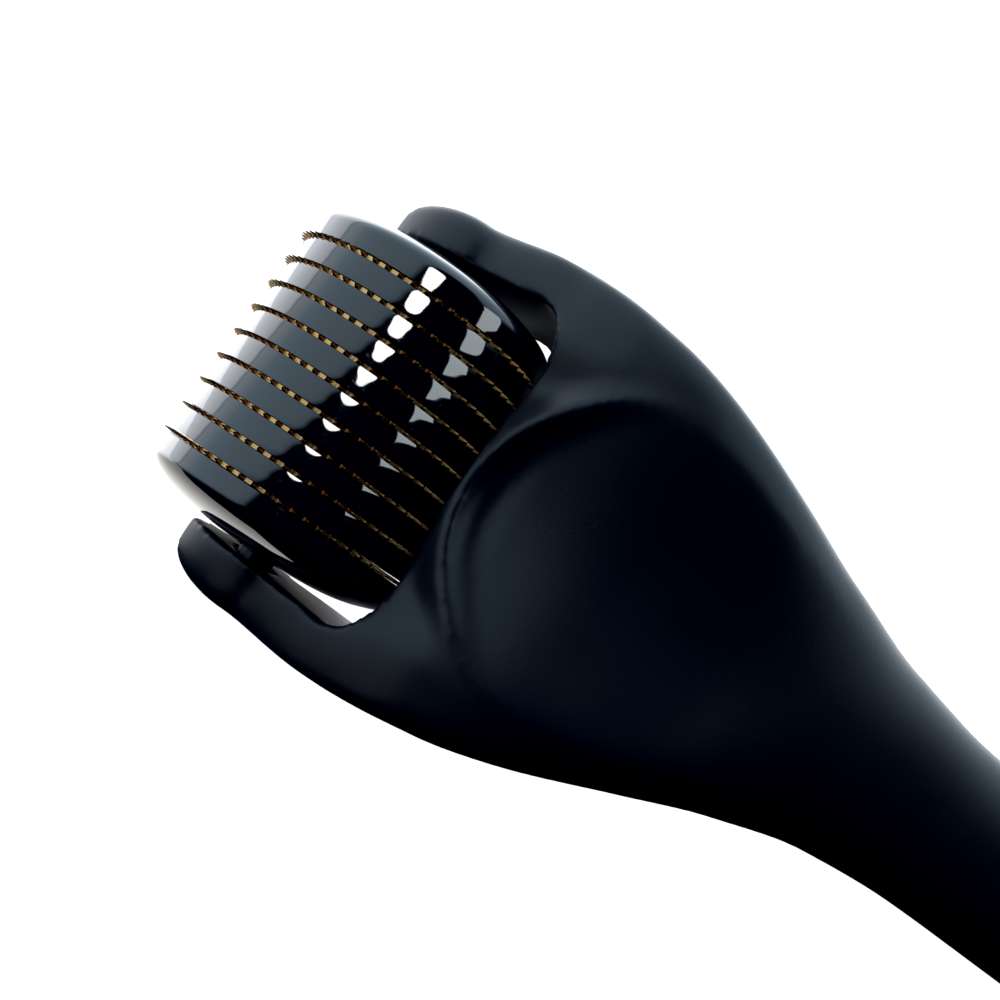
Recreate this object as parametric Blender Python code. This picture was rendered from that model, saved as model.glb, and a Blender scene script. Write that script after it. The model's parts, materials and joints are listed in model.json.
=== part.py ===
"""Derma roller: a forked thumb-rest handle and a needle drum that spins between its prongs.

Row frame: +X along the drum's axle, +Y towards the drum, +Z up. The roller lies on its needle tips and on the
flat under the handle's tail, with the floor at z = 0 and the origin under the middle of its bounding box.
"""

import math

import bmesh
import bpy

MM = 0.001

# Overall layout
TOTAL_LENGTH = 135.0 * MM
DISC_TIP_R = 11.0 * MM
AXLE_Y = TOTAL_LENGTH / 2 - DISC_TIP_R
AXLE_Z = DISC_TIP_R
TAIL_END = DISC_TIP_R - TOTAL_LENGTH

# Needle discs
DISC_COUNT = 9
DISC_PITCH = 2.2 * MM
DISC_THICK = 0.3 * MM
TEETH = 60
TOOTH_HEIGHT = 0.62 * MM
TOOTH_BASE_SHARE = 0.68

# Spacer rings and end caps
RING_R = 10.5 * MM
RING_EDGE_R = 10.26 * MM
RING_CROWN_SHARE = 0.6
FACE_GAP = 0.04 * MM
ROUND_STEPS = 36
CAP_RIM_X = 10.5 * MM
CAP_HUB_X = 12.9 * MM
CAP_HUB_R = 2.0 * MM
CAP_EDGE = 0.4 * MM
CAP_ARC_STEP = 15

# Core and axle
CORE_R = 6.0 * MM
CORE_SIDES = 6
CORE_HALF = 10.6 * MM
KEY_GAP = 0.05 * MM
AXLE_R = 1.5 * MM
AXLE_STEPS = 16
AXLE_HALF = 15.9 * MM
BORE_R = 1.56 * MM
BORE_END = 16.2 * MM
AXLE_CHAMFER = 0.3 * MM

# Fork gap
CAVITY_R = 12.1 * MM
CAVITY_HALF = 13.3 * MM
CAVITY_DRAFT = 0.10
CAVITY_CORNER = 3.3 * MM
GAP_ARC_STEP = 15
GAP_STEPS = 60

# Handle outline, measured from the drum's axle: (distance along Y, value), both in mm
HALF_WIDTH = [
    (0, 17.7), (-6, 18.05), (-14.6, 17.05), (-20, 15.65), (-28.7, 12.55), (-36.6, 10.15),
    (-46.7, 8.3), (-60, 7.7), (-78, 8.0), (-98, 8.6), (-112, 8.4), (-124, 7.6),
]
TOP = [
    (0, 4.3), (-3, 6.2), (-6, 8.8), (-8.4, 11.2), (-12, 13.7), (-20, 16.6), (-28, 17.4),
    (-36, 16.2), (-46, 12.8), (-60, 7.2), (-78, 3.2), (-98, 2.0), (-124, 1.4),
]
BOTTOM = [
    (0, -5.4), (-6, -5.0), (-12, -2.8), (-20, 1.2), (-28, 3.8), (-36, 3.6),
    (-46, 1.5), (-60, -3.1), (-78, -8.0), (-98, -11.6), (-124, -11.6),
]
WIDEST_SHARE = [(0, 0.46), (-2, 0.60), (-5, 0.74), (-8, 0.70), (-50, 0.70), (-80, 0.55), (-124, 0.52)]
TOP_POWER = [(0, 4.4), (-9, 4.0), (-18, 3.0), (-40, 2.15), (-124, 2.1)]
BELLY_POWER = 2.3
REST_Z = -11.0

# Prong tip and tail end
TIP_LENGTH = 5.35
TIP_POWER = 1.6
TIP_Z = -2.2
TIP_NARROWING = 2.7
TAIL_ROUND = 10.0
TAIL_Z = -5.4

# Thumb dish and the guard lip in front of it
CREST_Y = -7.75
CREST_R = 13.4
DISH_WALL_RUN = 3.2
DISH_HALF_WIDTH = 11.8
DISH_TAPER = 0.42
DISH_SIDE_POWER = 1.25
DISH_DEPTH = 2.8
DISH_TAIL_Y = -18.0
DISH_TAIL_RUN = 25.0
NOSE_DROP = 0.42
NOSE_HALF_WIDTH = 10.0
RELIEF_X = 8.6
RELIEF_INNER_SPREAD = 4.2
RELIEF_OUTER_SPREAD = 2.4
RELIEF_DEPTH = 1.5
RELIEF_RUN = 0.7
RELIEF_WIDENING = 0.016
RELIEF_FADE = 4.0

# Sections along the handle, (first place, spacing, count), closest where the shape turns fastest
TIP_ANGLES = (84, 72, 58, 42, 24)
FORK_SECTIONS = (0, -1.5, 4)
LIP_SECTIONS = (-6, -0.6, 15)
PALM_SECTIONS = (-15, -1.5, 18)
NECK_SECTIONS = (-44, -6, 9)
GRIP_PLACES = (-97, -101, -106, -110)
TAIL_ANGLES = (0, 22, 42, 58, 72, 90)
TAIL_SHARE_LIMIT = 0.99
TOP_STEPS = 40
BELLY_STEPS = 14

SHARP_ANGLE = 35
BORE_STEPS = 24


def clear_scene():
    for obj in list(bpy.data.objects):
        bpy.data.objects.remove(obj, do_unlink=True)


def material(name, color, roughness, metallic):
    mat = bpy.data.materials.new(name)
    mat.use_nodes = True
    shader = mat.node_tree.nodes["Principled BSDF"]
    shader.inputs["Base Color"].default_value = (*color, 1.0)
    shader.inputs["Roughness"].default_value = roughness
    shader.inputs["Metallic"].default_value = metallic
    return mat


def mesh_object(name, bm, mat=None):
    bmesh.ops.recalc_face_normals(bm, faces=bm.faces)
    mesh = bpy.data.meshes.new(name)
    bm.to_mesh(mesh)
    bm.free()
    obj = bpy.data.objects.new(name, mesh)
    bpy.context.scene.collection.objects.link(obj)
    if mat:
        mesh.materials.append(mat)
        mesh.shade_smooth()
        mesh.set_sharp_from_angle(angle=math.radians(SHARP_ANGLE))
    return obj


def curve(points, y):
    """Smooth curve through (y, value) points that never overshoots them; y runs downwards."""
    if y >= points[0][0]:
        return points[0][1]
    if y <= points[-1][0]:
        return points[-1][1]
    slopes = [(b[1] - a[1]) / (b[0] - a[0]) for a, b in zip(points, points[1:])]
    tangents = [0.0]
    for before, after in zip(slopes, slopes[1:]):
        tangents.append(2 * before * after / (before + after) if before * after > 0 else 0.0)
    tangents.append(0.0)
    i = next(k for k in range(len(slopes)) if points[k + 1][0] <= y)
    span = points[i + 1][0] - points[i][0]
    t = (y - points[i][0]) / span
    return (
        points[i][1] * (1 + 2 * t) * (1 - t) ** 2
        + points[i + 1][1] * t * t * (3 - 2 * t)
        + span * (tangents[i] * t * (1 - t) ** 2 - tangents[i + 1] * t * t * (1 - t))
    )


def smooth_step(t):
    t = min(1.0, max(0.0, t))
    return t * t * (3 - 2 * t)


def lip_crest(x):
    """Place along Y of the lip's crest, an arc round the thumb dish."""
    return CREST_Y - CREST_R + math.sqrt(max(0.0, CREST_R**2 - x**2))


def dish_depth(x, y):
    """Depth of the thumb dish: steep right behind the lip, blending out to the sides and the tail."""
    behind = lip_crest(x) - y
    if behind <= 0:
        return 0.0
    tail = smooth_step((DISH_TAIL_Y - y) / DISH_TAIL_RUN)
    across = x / (DISH_HALF_WIDTH * (1 - DISH_TAPER * tail))
    if abs(across) >= 1:
        return 0.0
    wall = 1 - max(0.0, 1 - behind / DISH_WALL_RUN) ** 2
    return DISH_DEPTH * wall * (1 - across**2) ** DISH_SIDE_POWER * (1 - tail)


def lip_relief(x, y):
    """Drop from the lip's crest to the fork gap: small at the lip's nose, deeper on both sides of it."""
    nose = NOSE_DROP * (1 - smooth_step(abs(x) / NOSE_HALF_WIDTH))
    spread = RELIEF_INNER_SPREAD if abs(x) < RELIEF_X else RELIEF_OUTER_SPREAD
    side = RELIEF_DEPTH * math.exp(-(((abs(x) - RELIEF_X) / spread) ** 2))
    run = RELIEF_RUN + RELIEF_WIDENING * x**2
    slope = min(1.0, max(0.0, (y - lip_crest(x)) / run))
    return (nose + side) * slope * smooth_step(-y / RELIEF_FADE)


def section(y):
    """Half width, top, widest height and bottom of the handle at y, in mm from the axle."""
    half = curve(HALF_WIDTH, y)
    top = curve(TOP, y)
    bottom = curve(BOTTOM, y)
    side = bottom + curve(WIDEST_SHARE, y) * (top - bottom)
    if y > 0:
        shrink = (1 - (y / TIP_LENGTH) ** TIP_POWER) ** (1 / TIP_POWER)
        half -= TIP_NARROWING * (1 - math.sqrt(1 - (y / TIP_LENGTH) ** 2))
        top, side, bottom = (TIP_Z + shrink * (z - TIP_Z) for z in (top, side, bottom))
    tail = TAIL_END / MM
    if y < tail + TAIL_ROUND:
        over = (tail + TAIL_ROUND - y) / TAIL_ROUND
        shrink = math.sqrt(1 - min(over, TAIL_SHARE_LIMIT) ** 2)
        half *= shrink
        top, side, bottom = (TAIL_Z + shrink * (z - TAIL_Z) for z in (top, side, bottom))
    return half, top, side, bottom


def ring_points(y):
    half, top, side, bottom = section(y)
    power = curve(TOP_POWER, y)
    points = []
    for k in range(TOP_STEPS):
        share = math.sin(math.pi * (k / TOP_STEPS - 0.5))
        x = half * share
        z = side + (top - side) * (1 - abs(share) ** power) ** (1 / power)
        points.append((x, z - dish_depth(x, y) - lip_relief(x, y)))
    for k in range(BELLY_STEPS):
        share = math.sin(math.pi * (0.5 - k / BELLY_STEPS))
        z = side - (side - bottom) * (1 - abs(share) ** BELLY_POWER) ** (1 / BELLY_POWER)
        points.append((half * share, max(z, REST_Z)))
    return points


def spaced(sections):
    first, spacing, count = sections
    return [first + spacing * k for k in range(count)]


def stations():
    """Places along the handle where its section is drawn."""
    tail = TAIL_END / MM
    tip = [TIP_LENGTH * math.sin(math.radians(a)) for a in TIP_ANGLES]
    end = [tail + TAIL_ROUND * (1 - math.sin(math.radians(a))) for a in TAIL_ANGLES]
    middle = [*spaced(FORK_SECTIONS), *spaced(LIP_SECTIONS), *spaced(PALM_SECTIONS), *spaced(NECK_SECTIONS)]
    return [*tip, *middle, *GRIP_PLACES, *end]


def handle_blank():
    bm = bmesh.new()
    rings = []
    for y in stations():
        rings.append([bm.verts.new((x * MM, y * MM, z * MM)) for x, z in ring_points(y)])
    for near, far in zip(rings, rings[1:]):
        count = len(near)
        for k in range(count):
            after = (k + 1) % count
            bm.faces.new((near[k], near[after], far[after], far[k]))
    bm.faces.new(rings[0])
    bm.faces.new(rings[-1])
    return bm


def turned(profile, steps=ROUND_STEPS):
    """Closed solid turned about the X axis from (x, radius) points; the first and last lie on the axis."""
    bm = bmesh.new()
    rings = []
    for x, radius in profile:
        outline = circle(radius, steps) if radius else [(0, 0)]
        rings.append([bm.verts.new((x, y, z)) for y, z in outline])
    for near, far in zip(rings, rings[1:]):
        for k in range(steps):
            after = (k + 1) % steps
            corners = [near[k % len(near)], near[after % len(near)], far[after % len(far)], far[k % len(far)]]
            bm.faces.new(list(dict.fromkeys(corners)))
    return bm


def circle(radius, steps):
    """(y, z) points of a regular outline; the first points straight down."""
    angles = [2 * math.pi * k / steps for k in range(steps)]
    return [(radius * math.sin(a), -radius * math.cos(a)) for a in angles]


def join_outlines(bm, near, far):
    """Wall between two outlines: quads where they match, a flat triangulated face where they don't."""
    count = len(near)
    if count == len(far):
        for k in range(count):
            after = (k + 1) % count
            bm.faces.new((near[k], near[after], far[after], far[k]))
        return
    edges = []
    for outline in (near, far):
        for k, vert in enumerate(outline):
            after = outline[(k + 1) % len(outline)]
            edges.append(bm.edges.get((vert, after)) or bm.edges.new((vert, after)))
    bmesh.ops.triangle_fill(bm, edges=edges, use_beauty=True)


def sleeve(outer, inner):
    """Closed solid with a hole along X, from (x, outline) steps on its outside and in its hole."""
    bm = bmesh.new()
    walls = []
    for steps in (outer, inner):
        walls.append([[bm.verts.new((x, y, z)) for y, z in outline] for x, outline in steps])
    for wall in walls:
        for near, far in zip(wall, wall[1:]):
            join_outlines(bm, near, far)
    join_outlines(bm, walls[0][0], walls[1][0])
    join_outlines(bm, walls[0][-1], walls[1][-1])
    return bm


def tooth_outline():
    """Rim of a needle disc; one tooth points straight down."""
    root = DISC_TIP_R - TOOTH_HEIGHT
    step = 2 * math.pi / TEETH
    points = []
    for k in range(TEETH):
        for offset, radius in ((-TOOTH_BASE_SHARE / 2, root), (0, DISC_TIP_R), (TOOTH_BASE_SHARE / 2, root)):
            a = (k + offset) * step
            points.append((radius * math.sin(a), -radius * math.cos(a)))
    return points


def cavity_tool():
    """Drum-shaped fork gap with filleted corners and drafted side walls."""
    flat = CAVITY_HALF - CAVITY_CORNER
    core = CAVITY_R - CAVITY_CORNER
    arc = [math.radians(a) for a in range(0, 91, GAP_ARC_STEP)]
    fillet = [(flat + CAVITY_CORNER * math.sin(a), core + CAVITY_CORNER * math.cos(a)) for a in arc]
    mirrored = [(-x, radius) for x, radius in reversed(fillet)]
    bm = turned([(-CAVITY_HALF, 0), *mirrored, *fillet, (CAVITY_HALF, 0)], steps=GAP_STEPS)
    for vert in bm.verts:
        vert.co.x *= 1 + CAVITY_DRAFT * vert.co.z / CAVITY_HALF
    return bm


def drum_part(name, bm, mat, x=0.0):
    obj = mesh_object(name, bm, mat)
    obj.location = (x, AXLE_Y, AXLE_Z)
    return obj


def build_handle():
    handle = drum_part("handle", handle_blank(), material("soft_touch_black", (0.018, 0.021, 0.026), 0.55, 0.0))
    tools = [("fork_gap_tool", cavity_tool())]
    for name, side in (("left_bore_tool", -1), ("right_bore_tool", 1)):
        mouth = side * CAVITY_HALF / 2
        end = side * BORE_END
        profile = [(mouth, 0), (mouth, BORE_R), (end, BORE_R), (end, 0)]
        tools.append((name, turned(profile, steps=BORE_STEPS)))
    for name, bm in tools:
        tool = mesh_object(name, bm)
        tool.location = handle.location
        tool.hide_render = True
        tool.display_type = "WIRE"
        modifier = handle.modifiers.new(name, "BOOLEAN")
        modifier.operation = "DIFFERENCE"
        modifier.object = tool


def build_discs():
    half = DISC_THICK / 2
    rim = tooth_outline()
    hole = circle(CORE_R + KEY_GAP, CORE_SIDES)
    gold = material("gold_needles", (0.62, 0.38, 0.12), 0.3, 1.0)
    first = drum_part("needle_disc_1", sleeve([(-half, rim), (half, rim)], [(-half, hole), (half, hole)]), gold)
    for k in range(DISC_COUNT):
        obj = first if k == 0 else bpy.data.objects.new(f"needle_disc_{k + 1}", first.data)
        if k:
            bpy.context.scene.collection.objects.link(obj)
        obj.location = ((k - (DISC_COUNT - 1) / 2) * DISC_PITCH, AXLE_Y, AXLE_Z)


def build_rings():
    half = (DISC_PITCH - DISC_THICK) / 2 - FACE_GAP
    crown = RING_CROWN_SHARE * half
    outside = [(-half, RING_EDGE_R), (-crown, RING_R), (crown, RING_R), (half, RING_EDGE_R)]
    outer = [(x, circle(radius, ROUND_STEPS)) for x, radius in outside]
    hole = circle(CORE_R + KEY_GAP, CORE_SIDES)
    black = material("gloss_black", (0.012, 0.013, 0.015), 0.12, 0.0)
    first = drum_part("spacer_ring_1", sleeve(outer, [(-half, hole), (half, hole)]), black)
    for k in range(DISC_COUNT - 1):
        obj = first if k == 0 else bpy.data.objects.new(f"spacer_ring_{k + 1}", first.data)
        if k:
            bpy.context.scene.collection.objects.link(obj)
        obj.location = ((k - (DISC_COUNT - 2) / 2) * DISC_PITCH, AXLE_Y, AXLE_Z)


def build_end_caps():
    black = material("gloss_black_cap", (0.012, 0.013, 0.015), 0.12, 0.0)
    face = (DISC_COUNT - 1) / 2 * DISC_PITCH + DISC_THICK / 2 + FACE_GAP
    pocket = CORE_HALF + KEY_GAP
    dome = [(face, RING_EDGE_R), (face + CAP_EDGE, RING_R)]
    for angle in range(0, 91, CAP_ARC_STEP):
        a = math.radians(angle)
        x = CAP_RIM_X + (CAP_HUB_X - CAP_RIM_X) * math.sin(a)
        dome.append((x, CAP_HUB_R + (RING_R - CAP_HUB_R) * math.cos(a)))
    key = circle(CORE_R + KEY_GAP, CORE_SIDES)
    bore = circle(BORE_R, AXLE_STEPS)
    hole = [(face, key), (pocket, key), (pocket, bore), (CAP_HUB_X, bore)]
    for name, side in (("end_cap_left", -1), ("end_cap_right", 1)):
        outer = [(side * x, circle(radius, ROUND_STEPS)) for x, radius in dome]
        drum_part(name, sleeve(outer, [(side * x, outline) for x, outline in hole]), black)


def build_core_and_axle():
    key = circle(CORE_R, CORE_SIDES)
    bore = circle(BORE_R, AXLE_STEPS)
    outer = [(-CORE_HALF, key), (CORE_HALF, key)]
    inner = [(-CORE_HALF, bore), (CORE_HALF, bore)]
    drum_part("drum_core", sleeve(outer, inner), material("core_plastic", (0.05, 0.05, 0.055), 0.45, 0.0))
    shoulder = AXLE_HALF - AXLE_CHAMFER
    nose = AXLE_R - AXLE_CHAMFER
    end = [(shoulder, AXLE_R), (AXLE_HALF, nose), (AXLE_HALF, 0)]
    profile = [(-x, radius) for x, radius in reversed(end)] + end
    drum_part("axle_pin", turned(profile, AXLE_STEPS), material("axle_steel", (0.55, 0.56, 0.58), 0.3, 1.0))


clear_scene()
build_handle()
build_discs()
build_rings()
build_end_caps()
build_core_and_axle()
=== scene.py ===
"""Derma roller, finished: soft-touch handle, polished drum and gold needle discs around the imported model.

Everything is measured from the drum's axle. Handle outlines are in millimetres along Y from the axle.
"""

import json
import math

import bmesh
import bpy
from mathutils import Matrix, Vector


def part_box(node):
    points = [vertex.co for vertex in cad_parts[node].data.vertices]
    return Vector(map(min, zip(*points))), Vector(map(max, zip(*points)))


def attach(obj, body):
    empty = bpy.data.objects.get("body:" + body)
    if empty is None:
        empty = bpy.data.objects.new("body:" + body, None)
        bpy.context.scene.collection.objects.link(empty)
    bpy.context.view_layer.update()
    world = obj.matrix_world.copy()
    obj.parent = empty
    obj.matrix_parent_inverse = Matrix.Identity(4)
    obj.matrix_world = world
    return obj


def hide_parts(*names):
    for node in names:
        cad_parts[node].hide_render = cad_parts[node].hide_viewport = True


MM = 0.001

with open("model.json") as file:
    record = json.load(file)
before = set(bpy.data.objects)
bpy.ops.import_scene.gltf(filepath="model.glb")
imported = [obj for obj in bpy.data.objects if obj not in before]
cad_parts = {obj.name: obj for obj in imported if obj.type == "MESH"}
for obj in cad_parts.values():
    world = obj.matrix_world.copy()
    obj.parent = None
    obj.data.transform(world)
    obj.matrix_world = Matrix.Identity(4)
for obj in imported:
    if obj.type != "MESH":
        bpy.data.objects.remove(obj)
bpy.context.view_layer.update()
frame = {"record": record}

AXLE = Vector(frame["record"]["behaviour"]["joints"][0]["pos_m"])
DISCS = [f"needle_disc_{k}" for k in range(1, 10)]
RINGS = [f"spacer_ring_{k}" for k in range(1, 9)]

# Handle outline, as (distance along Y, value)
HALF_WIDTH = [
    (0, 17.7), (-6, 18.05), (-14.6, 17.05), (-20, 15.65), (-28.7, 12.55), (-36.6, 10.15),
    (-46.7, 8.3), (-60, 7.7), (-78, 8.0), (-98, 8.6), (-112, 8.4), (-124, 7.6),
]
TOP = [
    (0, 4.3), (-3, 6.2), (-6, 8.8), (-8.4, 11.2), (-12, 13.7), (-20, 16.6), (-28, 17.4),
    (-36, 16.2), (-46, 12.8), (-60, 7.2), (-78, 3.2), (-98, 2.0), (-124, 1.4),
]
BOTTOM = [
    (0, -5.4), (-6, -5.0), (-12, -2.8), (-20, 1.2), (-28, 3.8), (-36, 3.6),
    (-46, 1.5), (-60, -3.1), (-78, -8.0), (-98, -11.6), (-124, -11.6),
]
WIDEST_SHARE = [(0, 0.46), (-2, 0.60), (-5, 0.74), (-8, 0.70), (-50, 0.70), (-80, 0.55), (-124, 0.52)]
TOP_POWER = [(0, 4.4), (-9, 4.0), (-18, 3.0), (-40, 2.15), (-124, 2.1)]
BELLY_POWER = 2.3
TAIL_END = (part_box("handle")[0][1] - AXLE.y) / MM
REST_Z = -AXLE.z / MM

TIP_LENGTH = 5.35
TIP_POWER = 1.6
TIP_Z = -2.2
TIP_NARROWING = 2.7
TAIL_ROUND = 10.0
TAIL_Z = -5.4

# Thumb dish and the guard lip in front of it
CREST_Y = -7.75
CREST_R = 13.4
DISH_WALL_RUN = 3.2
DISH_HALF_WIDTH = 11.8
DISH_TAPER = 0.42
DISH_SIDE_POWER = 1.25
DISH_DEPTH = 2.8
DISH_TAIL_Y = -18.0
DISH_TAIL_RUN = 25.0
NOSE_DROP = 0.42
NOSE_HALF_WIDTH = 10.0
RELIEF_X = 8.6
RELIEF_INNER_SPREAD = 4.2
RELIEF_OUTER_SPREAD = 2.4
RELIEF_DEPTH = 1.5
RELIEF_RUN = 0.7
RELIEF_WIDENING = 0.016
RELIEF_FADE = 4.0

# Fork gap
CAVITY_R = 12.1
CAVITY_HALF = 13.3
CAVITY_DRAFT = 0.10
CAVITY_CORNER = 3.3
GAP_ARC_STEP = 6
GAP_STEPS = 180

# Axle bores, a little wider than the pin needs so that the softened skin stays clear of it
BORE_R = 1.66
BORE_END = 16.2
BORE_STEPS = 48

# Sections along the handle and points round each of them
TIP_ANGLES = range(87, 0, -4)
HEAD_STEP = 0.4
HEAD_COUNT = 100
PALM_START = -40.0
PALM_STEP = 1.5
PALM_COUNT = 49
TAIL_ANGLES = range(0, 91, 5)
TAIL_SHARE_LIMIT = 0.999
TOP_STEPS = 110
BELLY_STEPS = 60

SKIN_VOXEL = 0.325
SKIN_SOFTENING = 0.5
SKIN_SMOOTHING = 5
SHARP_ANGLE = 35


# ---------------------------------------------------------------- camera

CAMERA_PLACE = Vector((-9.38, 14.70, 104.62)) * MM
CAMERA_RIGHT = Vector((0.5594, -0.7852, 0.2655))
CAMERA_DOWN = Vector((-0.8233, -0.5636, 0.0677))
CAMERA_LENS = 49.885


def make_camera():
    data = bpy.data.cameras.new("camera")
    data.lens = CAMERA_LENS
    data.sensor_width = 36.0
    data.clip_start = 0.005
    data.clip_end = 10.0
    camera = bpy.data.objects.new("camera", data)
    bpy.context.scene.collection.objects.link(camera)
    back = CAMERA_RIGHT.cross(-CAMERA_DOWN).normalized()
    up = back.cross(CAMERA_RIGHT).normalized()
    turn = Matrix((CAMERA_RIGHT.normalized(), up, back)).transposed()
    camera.matrix_world = Matrix.Translation(AXLE + CAMERA_PLACE) @ turn.to_4x4()
    bpy.context.scene.camera = camera


# ---------------------------------------------------------------- shader maths


class Signal:
    """A shader socket that takes part in Python arithmetic; each operation adds its Math node."""

    def __init__(self, shader, socket):
        self.shader = shader
        self.socket = socket

    def _math(self, operation, *terms):
        return self.shader.add("ShaderNodeMath", {"operation": operation}, dict(enumerate(terms)))

    def __add__(self, other):
        return self._math("ADD", self, other)

    def __radd__(self, other):
        return self._math("ADD", other, self)

    def __sub__(self, other):
        return self._math("SUBTRACT", self, other)

    def __rsub__(self, other):
        return self._math("SUBTRACT", other, self)

    def __mul__(self, other):
        return self._math("MULTIPLY", self, other)

    def __rmul__(self, other):
        return self._math("MULTIPLY", other, self)


class Shader:
    """Node tree of one material or of the world."""

    def __init__(self, owner):
        owner.use_nodes = True
        self.tree = owner.node_tree

    def add(self, kind, settings=None, values=None, output=0):
        node = self.tree.nodes.new(kind)
        for name, value in (settings or {}).items():
            if name == "stops":
                self._set_stops(node.color_ramp, value)
            else:
                setattr(node, name, value)
        self.feed(node, values or {})
        return Signal(self, node.outputs[output])

    def feed(self, node, values):
        for name, value in values.items():
            if isinstance(value, Signal):
                self.tree.links.new(value.socket, node.inputs[name])
            elif isinstance(value, tuple) and len(value) == 3 and node.inputs[name].type == "RGBA":
                node.inputs[name].default_value = (*value, 1.0)
            else:
                node.inputs[name].default_value = value

    def _set_stops(self, ramp, stops):
        while len(ramp.elements) > 1:
            ramp.elements.remove(ramp.elements[-1])
        for k, (place, level) in enumerate(stops):
            stop = ramp.elements[0] if k == 0 else ramp.elements.new(place)
            stop.position = place
            stop.color = (level, level, level, 1.0)

    def point(self):
        """Place on the piece in millimetres."""
        return self.add("ShaderNodeVectorMath", {"operation": "SCALE"}, {
            0: self.add("ShaderNodeTexCoord", output="Object"), "Scale": 1 / MM,
        })

    def noise(self, point, scale, detail=3.0, roughness=0.5):
        values = {"Vector": point, "Scale": scale, "Detail": detail, "Roughness": roughness}
        return self.add("ShaderNodeTexNoise", {}, values)

    def ramp(self, fac, *stops):
        return self.add("ShaderNodeValToRGB", {"stops": stops}, {"Fac": fac})

    def mix_color(self, fac, first, second):
        return self.add("ShaderNodeMix", {"data_type": "RGBA"}, {0: fac, 6: first, 7: second}, output=2)

    def bump(self, height, distance, strength=1.0):
        return self.add("ShaderNodeBump", {}, {"Height": height, "Distance": distance, "Strength": strength})


def new_material(name):
    material = bpy.data.materials.new(name)
    shader = Shader(material)
    shader.surface = shader.tree.nodes["Principled BSDF"]
    return material, shader


# ---------------------------------------------------------------- materials


def soft_touch_black():
    """Rubbery coat: fine grain, faint smudges and a few specks of dust."""
    material, shader = new_material("soft_touch_black")
    point = shader.point()
    smudge = shader.noise(point, 0.12, 4.0)
    grain = shader.noise(point, 9.0, 2.0)
    specks = shader.ramp(shader.noise(point, 1.6, 6.0, 0.75), (0.0, 0.0), (0.745, 0.0), (0.80, 1.0))
    shade = shader.mix_color(smudge, (0.0035, 0.0045, 0.0070), (0.0060, 0.0075, 0.0110))
    shader.feed(shader.surface, {
        "Base Color": shader.mix_color(specks * 0.5, shade, (0.040, 0.046, 0.055)),
        "Roughness": 0.31 + 0.08 * smudge + 0.05 * grain,
        "Specular IOR Level": 0.31,
        "Normal": shader.bump(grain * 0.7 + smudge * 0.6, 0.012 * MM),
    })
    return material


def gloss_black():
    """Polished black moulding with hairline scratches and a trace of haze."""
    material, shader = new_material("gloss_black")
    point = shader.point()
    haze = shader.noise(point, 0.35, 3.0)
    ripple = shader.noise(point, 0.42, 1.5)
    stretched = shader.add("ShaderNodeVectorMath", {"operation": "MULTIPLY"}, {0: point, 1: (6.0, 0.5, 0.5)})
    scratches = shader.ramp(shader.noise(stretched, 2.2, 5.0, 0.7), (0.0, 0.0), (0.66, 0.0), (0.74, 1.0))
    shader.feed(shader.surface, {
        "Base Color": shader.mix_color(haze, (0.0018, 0.0022, 0.0028), (0.0034, 0.0040, 0.0048)),
        "Roughness": 0.020 + 0.03 * haze + 0.08 * scratches,
        "IOR": 1.52,
        "Coat Weight": 0.35,
        "Coat Roughness": 0.03,
        "Normal": shader.bump(ripple - scratches * 0.05, 0.05 * MM, 0.35),
    })
    return material


# Radii between which the plate's gold turns into painted shade, darker towards the needle tips
TIP_SHADE_FROM_R = 10.34
TIP_SHADE_TO_R = 10.55


def gold_needles():
    """Gold-tone plate: bright gold rim, with painted shade darkening it towards the needle tips; tiny pits.
    """
    material, shader = new_material("gold_needles")
    point = shader.point()
    across = shader.add("ShaderNodeVectorMath", {"operation": "SUBTRACT"}, {
        0: point, 1: tuple(AXLE / MM),
    })
    flat = shader.add("ShaderNodeVectorMath", {"operation": "MULTIPLY"}, {0: across, 1: (0.0, 1.0, 1.0)})
    radius = shader.add("ShaderNodeVectorMath", {"operation": "LENGTH"}, {0: flat}, output="Value")
    # painted shade mask: 0 on the plate and rim, 1 at the needle tips
    tip = shader.add("ShaderNodeMapRange", {}, {
        "Value": radius, "From Min": TIP_SHADE_FROM_R, "From Max": TIP_SHADE_TO_R,
    })
    mottle = shader.noise(point, 2.5, 4.0)
    gold = shader.mix_color(mottle, (0.46, 0.23, 0.07), (0.62, 0.36, 0.13))
    shader.feed(shader.surface, {
        # the dark tone mixed in towards the tips is painted shade
        "Base Color": shader.mix_color(tip, gold, (0.22, 0.11, 0.035)),
        "Metallic": 1.0,
        "Roughness": 0.16 + 0.06 * tip + 0.10 * mottle,
        "Normal": shader.bump(shader.noise(point, 14.0, 3.0), 0.01 * MM),
    })
    return material


def core_plastic():
    material, shader = new_material("core_plastic")
    grain = shader.noise(shader.point(), 5.0)
    shader.feed(shader.surface, {
        "Base Color": shader.mix_color(grain, (0.030, 0.030, 0.033), (0.055, 0.055, 0.060)),
        "Roughness": 0.40 + 0.15 * grain,
        "Normal": shader.bump(grain, 0.01 * MM),
    })
    return material


def axle_steel():
    """Ground pin, blackened, with fine turning marks round it."""
    material, shader = new_material("axle_steel")
    point = shader.point()
    stretched = shader.add("ShaderNodeVectorMath", {"operation": "MULTIPLY"}, {0: point, 1: (30.0, 1.0, 1.0)})
    marks = shader.noise(stretched, 1.0)
    shader.feed(shader.surface, {
        "Base Color": shader.mix_color(marks, (0.025, 0.025, 0.028), (0.050, 0.050, 0.055)),
        "Metallic": 1.0,
        "Roughness": 0.40 + 0.14 * marks,
        "Normal": shader.bump(marks, 0.006 * MM),
    })
    return material


# ---------------------------------------------------------------- meshes


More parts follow.
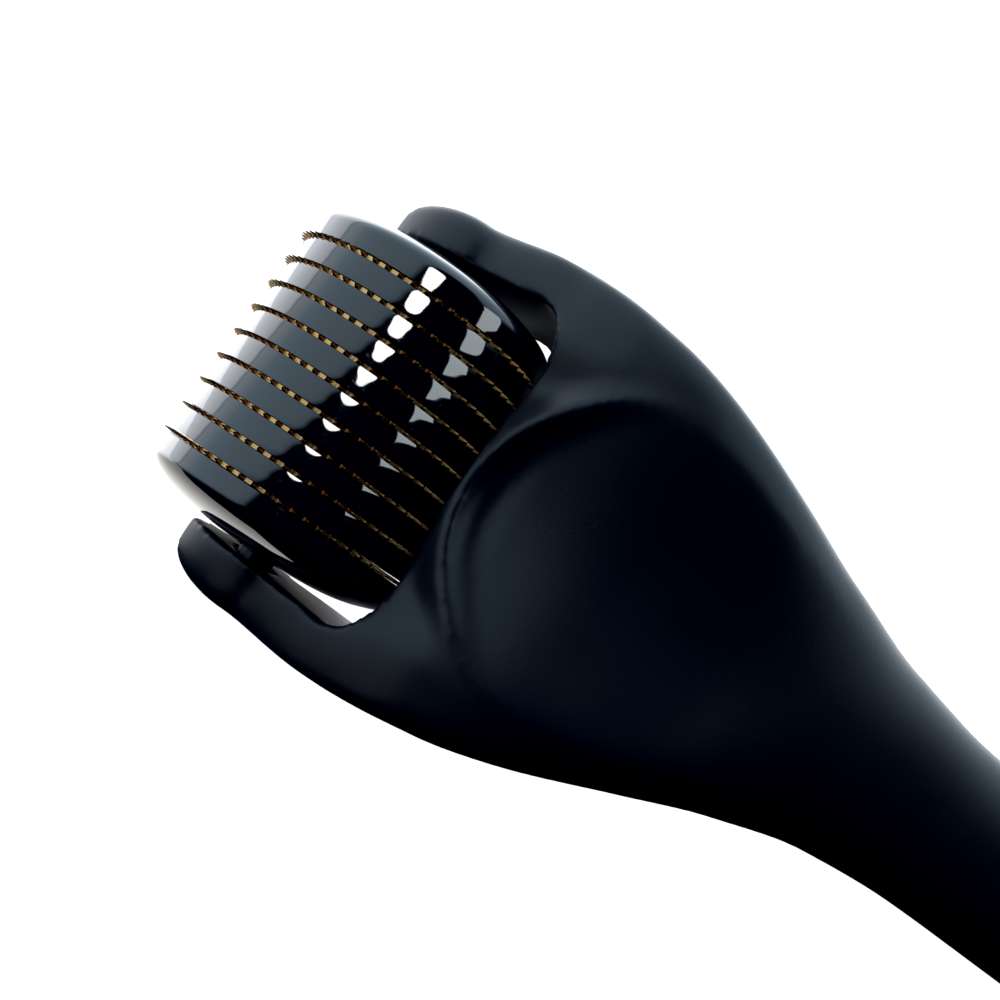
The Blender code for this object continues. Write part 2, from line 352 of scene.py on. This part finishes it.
def mesh_object(name, bm, material, sharp=SHARP_ANGLE):
    bmesh.ops.recalc_face_normals(bm, faces=bm.faces)
    mesh = bpy.data.meshes.new(name)
    bm.to_mesh(mesh)
    bm.free()
    mesh.shade_smooth()
    if sharp:
        mesh.set_sharp_from_angle(angle=math.radians(sharp))
    if material:
        mesh.materials.append(material)
    piece = bpy.data.objects.new(name, mesh)
    bpy.context.scene.collection.objects.link(piece)
    return piece


def circle(radius, steps):
    angles = [2 * math.pi * k / steps for k in range(steps)]
    return [(radius * math.sin(a), -radius * math.cos(a)) for a in angles]


def loft(bm, outlines, closed=False):
    """Skin over (x, outline) steps along X, measured in mm from the axle; returns its rings."""
    rings = []
    for x, outline in outlines:
        rings.append([bm.verts.new(AXLE + Vector((x, y, z)) * MM) for y, z in outline])
    pairs = list(zip(rings, rings[1:]))
    if closed:
        pairs.append((rings[-1], rings[0]))
    for near, far in pairs:
        for k in range(len(near)):
            after = (k + 1) % len(near)
            bm.faces.new((near[k], near[after], far[after], far[k]))
    return rings


def turned_ring(name, profile, material):
    """Ring turned about the axle from a closed profile of (x, radius)."""
    bm = bmesh.new()
    loft(bm, [(x, circle(radius, RING_STEPS)) for x, radius in profile], closed=True)
    return mesh_object(name, bm, material)


def curve(points, y):
    """Smooth curve through (y, value) points that never overshoots them; y runs downwards."""
    if y >= points[0][0]:
        return points[0][1]
    if y <= points[-1][0]:
        return points[-1][1]
    slopes = [(b[1] - a[1]) / (b[0] - a[0]) for a, b in zip(points, points[1:])]
    tangents = [0.0]
    for before, after in zip(slopes, slopes[1:]):
        tangents.append(2 * before * after / (before + after) if before * after > 0 else 0.0)
    tangents.append(0.0)
    i = next(k for k in range(len(slopes)) if points[k + 1][0] <= y)
    span = points[i + 1][0] - points[i][0]
    t = (y - points[i][0]) / span
    return (
        points[i][1] * (1 + 2 * t) * (1 - t) ** 2
        + points[i + 1][1] * t * t * (3 - 2 * t)
        + span * (tangents[i] * t * (1 - t) ** 2 - tangents[i + 1] * t * t * (1 - t))
    )


def smooth_step(t):
    t = min(1.0, max(0.0, t))
    return t * t * (3 - 2 * t)


def lip_crest(x):
    """Place along Y of the lip's crest, an arc round the thumb dish."""
    return CREST_Y - CREST_R + math.sqrt(max(0.0, CREST_R**2 - x**2))


def dish_depth(x, y):
    """Depth of the thumb dish: steep right behind the lip, blending out to the sides and the tail."""
    behind = lip_crest(x) - y
    if behind <= 0:
        return 0.0
    tail = smooth_step((DISH_TAIL_Y - y) / DISH_TAIL_RUN)
    across = x / (DISH_HALF_WIDTH * (1 - DISH_TAPER * tail))
    if abs(across) >= 1:
        return 0.0
    wall = 1 - max(0.0, 1 - behind / DISH_WALL_RUN) ** 2
    return DISH_DEPTH * wall * (1 - across**2) ** DISH_SIDE_POWER * (1 - tail)


def lip_relief(x, y):
    """Drop from the lip's crest to the fork gap: small at the lip's nose, deeper on both sides of it."""
    nose = NOSE_DROP * (1 - smooth_step(abs(x) / NOSE_HALF_WIDTH))
    spread = RELIEF_INNER_SPREAD if abs(x) < RELIEF_X else RELIEF_OUTER_SPREAD
    side = RELIEF_DEPTH * math.exp(-(((abs(x) - RELIEF_X) / spread) ** 2))
    run = RELIEF_RUN + RELIEF_WIDENING * x**2
    slope = min(1.0, max(0.0, (y - lip_crest(x)) / run))
    return (nose + side) * slope * smooth_step(-y / RELIEF_FADE)


def section(y):
    """Half width, top, widest height and bottom of the handle at y."""
    half = curve(HALF_WIDTH, y)
    top = curve(TOP, y)
    bottom = curve(BOTTOM, y)
    side = bottom + curve(WIDEST_SHARE, y) * (top - bottom)
    if y > 0:
        shrink = (1 - (y / TIP_LENGTH) ** TIP_POWER) ** (1 / TIP_POWER)
        half -= TIP_NARROWING * (1 - math.sqrt(1 - (y / TIP_LENGTH) ** 2))
        top, side, bottom = (TIP_Z + shrink * (z - TIP_Z) for z in (top, side, bottom))
    if y < TAIL_END + TAIL_ROUND:
        over = (TAIL_END + TAIL_ROUND - y) / TAIL_ROUND
        shrink = math.sqrt(1 - min(over, TAIL_SHARE_LIMIT) ** 2)
        half *= shrink
        top, side, bottom = (TAIL_Z + shrink * (z - TAIL_Z) for z in (top, side, bottom))
    return half, top, side, bottom


def handle_outline(y):
    """(x, z) points round the handle at y."""
    half, top, side, bottom = section(y)
    power = curve(TOP_POWER, y)
    points = []
    for k in range(TOP_STEPS):
        share = math.sin(math.pi * (k / TOP_STEPS - 0.5))
        x = half * share
        z = side + (top - side) * (1 - abs(share) ** power) ** (1 / power)
        points.append((x, z - dish_depth(x, y) - lip_relief(x, y)))
    for k in range(BELLY_STEPS):
        share = math.sin(math.pi * (0.5 - k / BELLY_STEPS))
        z = side - (side - bottom) * (1 - abs(share) ** BELLY_POWER) ** (1 / BELLY_POWER)
        points.append((half * share, max(z, REST_Z)))
    return points


def handle_blank():
    tip = [TIP_LENGTH * math.sin(math.radians(a)) for a in TIP_ANGLES]
    head = [-HEAD_STEP * k for k in range(HEAD_COUNT)]
    palm = [PALM_START - PALM_STEP * k for k in range(PALM_COUNT)]
    end = [TAIL_END + TAIL_ROUND * (1 - math.sin(math.radians(a))) for a in TAIL_ANGLES]
    bm = bmesh.new()
    rings = []
    for y in tip + head + palm + end:
        outline = handle_outline(y)
        rings.append([bm.verts.new(AXLE + Vector((x, y, z)) * MM) for x, z in outline])
    for near, far in zip(rings, rings[1:]):
        for k in range(len(near)):
            after = (k + 1) % len(near)
            bm.faces.new((near[k], near[after], far[after], far[k]))
    bm.faces.new(rings[0])
    bm.faces.new(rings[-1])
    return bm


def turned_tool(name, profile, steps):
    """Solid turned about the axle; its profile's first and last points become flat ends."""
    bm = bmesh.new()
    rings = loft(bm, [(x, circle(radius, steps)) for x, radius in profile])
    bm.faces.new(rings[0])
    bm.faces.new(rings[-1])
    return mesh_object(name, bm, None)


def fork_gap_tool():
    """Drum-shaped fork gap with filleted corners and drafted side walls."""
    flat = CAVITY_HALF - CAVITY_CORNER
    core = CAVITY_R - CAVITY_CORNER
    arc = [math.radians(a) for a in range(0, 91, GAP_ARC_STEP)]
    fillet = [(flat + CAVITY_CORNER * math.sin(a), core + CAVITY_CORNER * math.cos(a)) for a in arc]
    mirrored = [(-x, radius) for x, radius in reversed(fillet)]
    tool = turned_tool("fork_gap_tool", [*mirrored, *fillet], GAP_STEPS)
    for vert in tool.data.vertices:
        height = (vert.co.z - AXLE.z) / MM
        vert.co.x *= 1 + CAVITY_DRAFT * height / CAVITY_HALF
    return tool


def apply_modifiers(piece):
    graph = bpy.context.evaluated_depsgraph_get()
    mesh = bpy.data.meshes.new_from_object(piece.evaluated_get(graph))
    piece.modifiers.clear()
    piece.data = mesh


def build_handle(material):
    """One-piece moulding: blank, fork gap and axle bores, with every edge softly broken."""
    handle = mesh_object("handle_moulding", handle_blank(), material, sharp=0)
    tools = [fork_gap_tool()]
    for side in (-1, 1):
        profile = [(side * CAVITY_HALF / 2, BORE_R), (side * BORE_END, BORE_R)]
        tools.append(turned_tool("bore_tool", profile, BORE_STEPS))
    for tool in tools:
        cut = handle.modifiers.new("cut", "BOOLEAN")
        cut.operation = "DIFFERENCE"
        cut.object = tool
    apply_modifiers(handle)
    for tool in tools:
        bpy.data.objects.remove(tool, do_unlink=True)
    skin = handle.modifiers.new("skin", "REMESH")
    skin.mode = "VOXEL"
    skin.voxel_size = SKIN_VOXEL * MM
    soften = handle.modifiers.new("soften", "SMOOTH")
    soften.factor = SKIN_SOFTENING
    soften.iterations = SKIN_SMOOTHING
    apply_modifiers(handle)
    for vert in handle.data.vertices:
        vert.co.z = max(vert.co.z, 0.0)
    handle.data.shade_smooth()
    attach(handle, "handle")
    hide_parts("handle")
    return handle


# Drum pieces, in mm from the axle
RING_CROWN_R = (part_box("spacer_ring_1")[1][2] - AXLE.z) / MM
RING_CROWN_DROP = 0.022
RING_CROWN_POWER = 3.2
RING_CROWN_STEPS = 20
RING_SHOULDER = 0.05
RING_STEPS = 144
HUB_R = 6.1
CORE_CLEARANCE = 0.05
CORE_END_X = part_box("drum_core")[1][0] / MM + CORE_CLEARANCE


def barrel_profile(low, high, inner):
    """Profile of one drum segment: slightly crowned, with small rounded shoulders."""
    middle = (low + high) / 2
    half = (high - low) / 2
    points = []
    for k in range(RING_CROWN_STEPS + 1):
        share = math.sin(math.pi * (k / RING_CROWN_STEPS - 0.5))
        drop = RING_CROWN_DROP * abs(share) ** RING_CROWN_POWER
        points.append((middle + half * share, RING_CROWN_R - drop))
    return [(low, inner), (low, points[0][1] - RING_SHOULDER), *points,
            (high, points[-1][1] - RING_SHOULDER), (high, inner)]


def build_rings(material):
    rings = []
    for node in RINGS:
        low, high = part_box(node)
        ring = turned_ring(f"{node}_body", barrel_profile(low[0] / MM, high[0] / MM, HUB_R), material)
        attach(ring, "roller")
        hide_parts(node)
        rings.append(ring)
    return rings


CAP_RIM_X = 10.5
CAP_HUB_R = 2.0
CAP_HUB_ROUND = 0.08
CAP_BARREL_STEPS = 8
CAP_CROWN_POWER = 2.5
CAP_DOME_STEPS = 24
AXLE_CLEAR_R = 1.56


def build_end_caps(material):
    caps = []
    for node, side in (("end_cap_left", -1), ("end_cap_right", 1)):
        low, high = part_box(node)
        near, far = sorted((abs(low[0]) / MM, abs(high[0]) / MM))
        edge = near + RING_SHOULDER
        points = [(near, HUB_R), (near, RING_CROWN_R - RING_CROWN_DROP - RING_SHOULDER)]
        for k in range(CAP_BARREL_STEPS):
            share = k / CAP_BARREL_STEPS
            drop = RING_CROWN_DROP * (1 - share) ** CAP_CROWN_POWER
            points.append((edge + (CAP_RIM_X - edge) * share, RING_CROWN_R - drop))
        for k in range(CAP_DOME_STEPS + 1):
            a = math.pi / 2 * k / CAP_DOME_STEPS
            x = CAP_RIM_X + (far - CAP_HUB_ROUND - CAP_RIM_X) * math.sin(a)
            points.append((x, CAP_HUB_R + (RING_CROWN_R - CAP_HUB_R) * math.cos(a)))
        points += [(far, CAP_HUB_R - CAP_HUB_ROUND), (far, AXLE_CLEAR_R)]
        points += [(CORE_END_X, AXLE_CLEAR_R), (CORE_END_X, HUB_R)]
        cap = turned_ring(f"{node}_body", [(side * x, radius) for x, radius in points], material)
        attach(cap, "roller")
        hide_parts(node)
        caps.append(cap)
    return caps


TEETH = 60
TIP_R = (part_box("needle_disc_1")[1][2] - AXLE.z) / MM
ROOT_R = 10.32
TOOTH_HALF_SHARE = 0.27
TOOTH_SAMPLES = 12
ROOT_THICK_SHARE = 0.92
TIP_THICK_SHARE = 0.25
PLATE_R = 9.6


def tooth_profile(share):
    """Radius of the rim at a place between two tooth centres, from 0 at a tip to 0.5 in the valley."""
    flank = min(1.0, share / TOOTH_HALF_SHARE)
    return ROOT_R + (TIP_R - ROOT_R) * math.cos(math.pi / 2 * flank) ** 2


def rim_outline():
    points = []
    for k in range(TEETH * TOOTH_SAMPLES):
        turn = k / TOOTH_SAMPLES
        radius = tooth_profile(abs(turn - round(turn)))
        a = 2 * math.pi * turn / TEETH
        points.append((radius * math.sin(a), -radius * math.cos(a)))
    return points


def build_discs(material):
    steps = TEETH * TOOTH_SAMPLES
    rim = rim_outline()
    discs = []
    for node in DISCS:
        low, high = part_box(node)
        middle = (low[0] + high[0]) / 2 / MM
        half = (high[0] - low[0]) / 2 / MM
        bm = bmesh.new()
        hub_to_rim = [circle(HUB_R, steps), circle(PLATE_R, steps), rim]
        left_face = [(middle - half, outline) for outline in hub_to_rim]
        right_face = [(middle + half, outline) for outline in reversed(hub_to_rim)]
        rings = loft(bm, left_face + right_face, closed=True)
        for ring in rings[2:4]:
            for vert, (y, z) in zip(ring, rim):
                ground = (math.hypot(y, z) - ROOT_R) / (TIP_R - ROOT_R)
                share = ROOT_THICK_SHARE + (TIP_THICK_SHARE - ROOT_THICK_SHARE) * ground
                vert.co.x = (middle * MM) + (vert.co.x - middle * MM) * share
        disc = mesh_object(f"{node}_plate", bm, material)
        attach(disc, "roller")
        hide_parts(node)
        discs.append(disc)
    return discs


def dress_cad_nodes():
    """The core and the axle keep their CAD shape and get finished materials."""
    for node, material in (("drum_core", core_plastic()), ("axle_pin", axle_steel())):
        bpy.data.objects[node].material_slots[0].material = material


# ---------------------------------------------------------------- studio


FLOOR_HALF = 2.0


def build_floor():
    """White sweep that only the camera sees: it gives no reflections, bounce or shadow."""
    bm = bmesh.new()
    bmesh.ops.create_grid(bm, x_segments=1, y_segments=1, size=FLOOR_HALF)
    material, shader = new_material("studio_floor")
    paper = shader.noise(shader.point(), 0.05)
    shader.feed(shader.surface, {
        "Base Color": shader.mix_color(paper, (0.86, 0.86, 0.86), (0.90, 0.90, 0.90)),
        "Roughness": 0.9,
        "Emission Color": (1.0, 0.99, 0.98),
        "Emission Strength": 1.05,
    })
    floor = mesh_object("floor", bm, material, sharp=0)
    floor.visible_glossy = False
    floor.visible_diffuse = False
    floor.visible_shadow = False


WALL_SIDE = (0.940, 0.342, 0.0)
WALL_COLOR = (0.85, 1.14, 1.38)
LOW_COLOR = (1.08, 1.14, 1.22)
DARK_COLOR = (0.003, 0.004, 0.005)
WALL_PEAK = 2.7
WALL_LEVELS = (
    (0.00, 0.55), (0.033, 0.69), (0.117, 0.95), (0.20, 1.0), (0.281, 0.98), (0.298, 0.75), (0.312, 0.42),
    (0.328, 0.60), (0.40, 0.57), (0.46, 0.48), (0.62, 0.44), (0.80, 0.40), (0.85, 0.38), (0.883, 0.32),
    (0.905, 0.0),
)

# How strongly the bright sweep's top edge bends down towards +X, and where along X it drops below level
TOP_EDGE_BEND = 0.93
TOP_EDGE_TURN = 0.5


def build_world():
    """Bright sweep on the drum's side and the right, brightest low down; dark overhead and elsewhere."""
    world = bpy.data.worlds.new("studio")
    bpy.context.scene.world = world
    shader = Shader(world)
    direction = shader.add("ShaderNodeTexCoord", output="Generated")

    def along(axis):
        dot = {"operation": "DOT_PRODUCT"}
        return shader.add("ShaderNodeVectorMath", dot, {0: direction, 1: axis}, output="Value")

    side = shader.ramp(along(WALL_SIDE) * 0.5 + 0.5, (0.0, 0.0), (0.475, 0.0), (0.625, 1.0))
    sideways = along((1.0, 0.0, 0.0))
    height = along((0.0, 0.0, 1.0)) + sideways * (sideways - TOP_EDGE_TURN) * TOP_EDGE_BEND
    up = height * 0.5 + 0.5
    level = side * shader.ramp(up, *WALL_LEVELS) * WALL_PEAK
    tint = shader.mix_color(shader.ramp(up, (0.25, 0.0), (0.5, 1.0)), LOW_COLOR, WALL_COLOR)
    lit = shader.add("ShaderNodeVectorMath", {"operation": "SCALE"}, {0: tint, "Scale": level})
    lit = shader.add("ShaderNodeVectorMath", {"operation": "ADD"}, {0: lit, 1: DARK_COLOR})
    seen = shader.add("ShaderNodeLightPath", output="Is Camera Ray")
    background = shader.tree.nodes["Background"]
    shader.feed(background, {"Color": shader.mix_color(seen, lit, (1.0, 1.0, 1.0)), "Strength": 1.0})


def toward(elevation, turn, distance):
    """Point seen from the drum at an elevation, turned from +Y towards +X, in degrees."""
    e, t = math.radians(elevation), math.radians(turn)
    return AXLE + Vector((math.sin(t) * math.cos(e), math.cos(t) * math.cos(e), math.sin(e))) * distance


# Lamps as (shape, elevation, turn, distance, size, power, colour), seen from the drum, in degrees and metres
KEY_SOFTBOX = ("ELLIPSE", 67, 37, 0.6, (0.17, 0.16), 1.35, (1.0, 0.99, 0.97))
SIDE_PANEL = ("RECTANGLE", 50, 158, 0.6, (0.13, 0.19), 0.40, (0.86, 0.96, 1.0))
LOW_FILL = ("RECTANGLE", -60, -55, 0.4, (0.60, 0.62), 1.7, (1.0, 0.98, 0.95))
PRONG_FILL = ("RECTANGLE", 28, -40, 0.5, (0.40, 0.35), 0.22, (0.92, 0.97, 1.0))


def receivers(name, pieces):
    collection = bpy.data.collections.new(name)
    for piece in pieces:
        collection.objects.link(piece)
    return collection


def area_light(name, lamp, lit_pieces):
    """Lamp aimed at the drum that reaches only the given collection of pieces."""
    shape, elevation, turn, distance, size, power, color = lamp
    data = bpy.data.lights.new(name, "AREA")
    data.shape = shape
    data.size, data.size_y = size
    data.energy = power
    data.color = color
    light = bpy.data.objects.new(name, data)
    bpy.context.scene.collection.objects.link(light)
    light.location = toward(elevation, turn, distance)
    light.rotation_mode = "QUATERNION"
    light.rotation_quaternion = (light.location - AXLE).to_track_quat("Z", "Y")
    light.light_linking.receiver_collection = lit_pieces


def build_lights(handle, polished_pieces, disc_pieces):
    """Key softbox and side panel for the polished drum, a low fill for the roller and one for the prongs."""
    drum = receivers("polished_drum", polished_pieces)
    roller = receivers("whole_roller", polished_pieces + disc_pieces)
    area_light("key_softbox", KEY_SOFTBOX, drum)
    area_light("side_panel", SIDE_PANEL, drum)
    area_light("low_fill", LOW_FILL, roller)
    area_light("prong_fill", PRONG_FILL, receivers("handle_only", [handle]))


BLACK_POINT = (0.0030, 0.0030, 0.0015)


def set_look():
    scene = bpy.context.scene
    scene.view_settings.view_transform = "Standard"
    scene.view_settings.look = "None"
    scene.view_settings.exposure = 0.0
    scene.view_settings.gamma = 1.0
    scene.view_settings.use_curve_mapping = True
    scene.view_settings.curve_mapping.black_level = BLACK_POINT
    scene.view_settings.curve_mapping.update()


make_camera()
polished = gloss_black()
handle_piece = build_handle(soft_touch_black())
drum_pieces = build_rings(polished) + build_end_caps(polished)
disc_pieces = build_discs(gold_needles())
dress_cad_nodes()
build_floor()
build_world()
build_lights(handle_piece, drum_pieces, disc_pieces)
set_look()
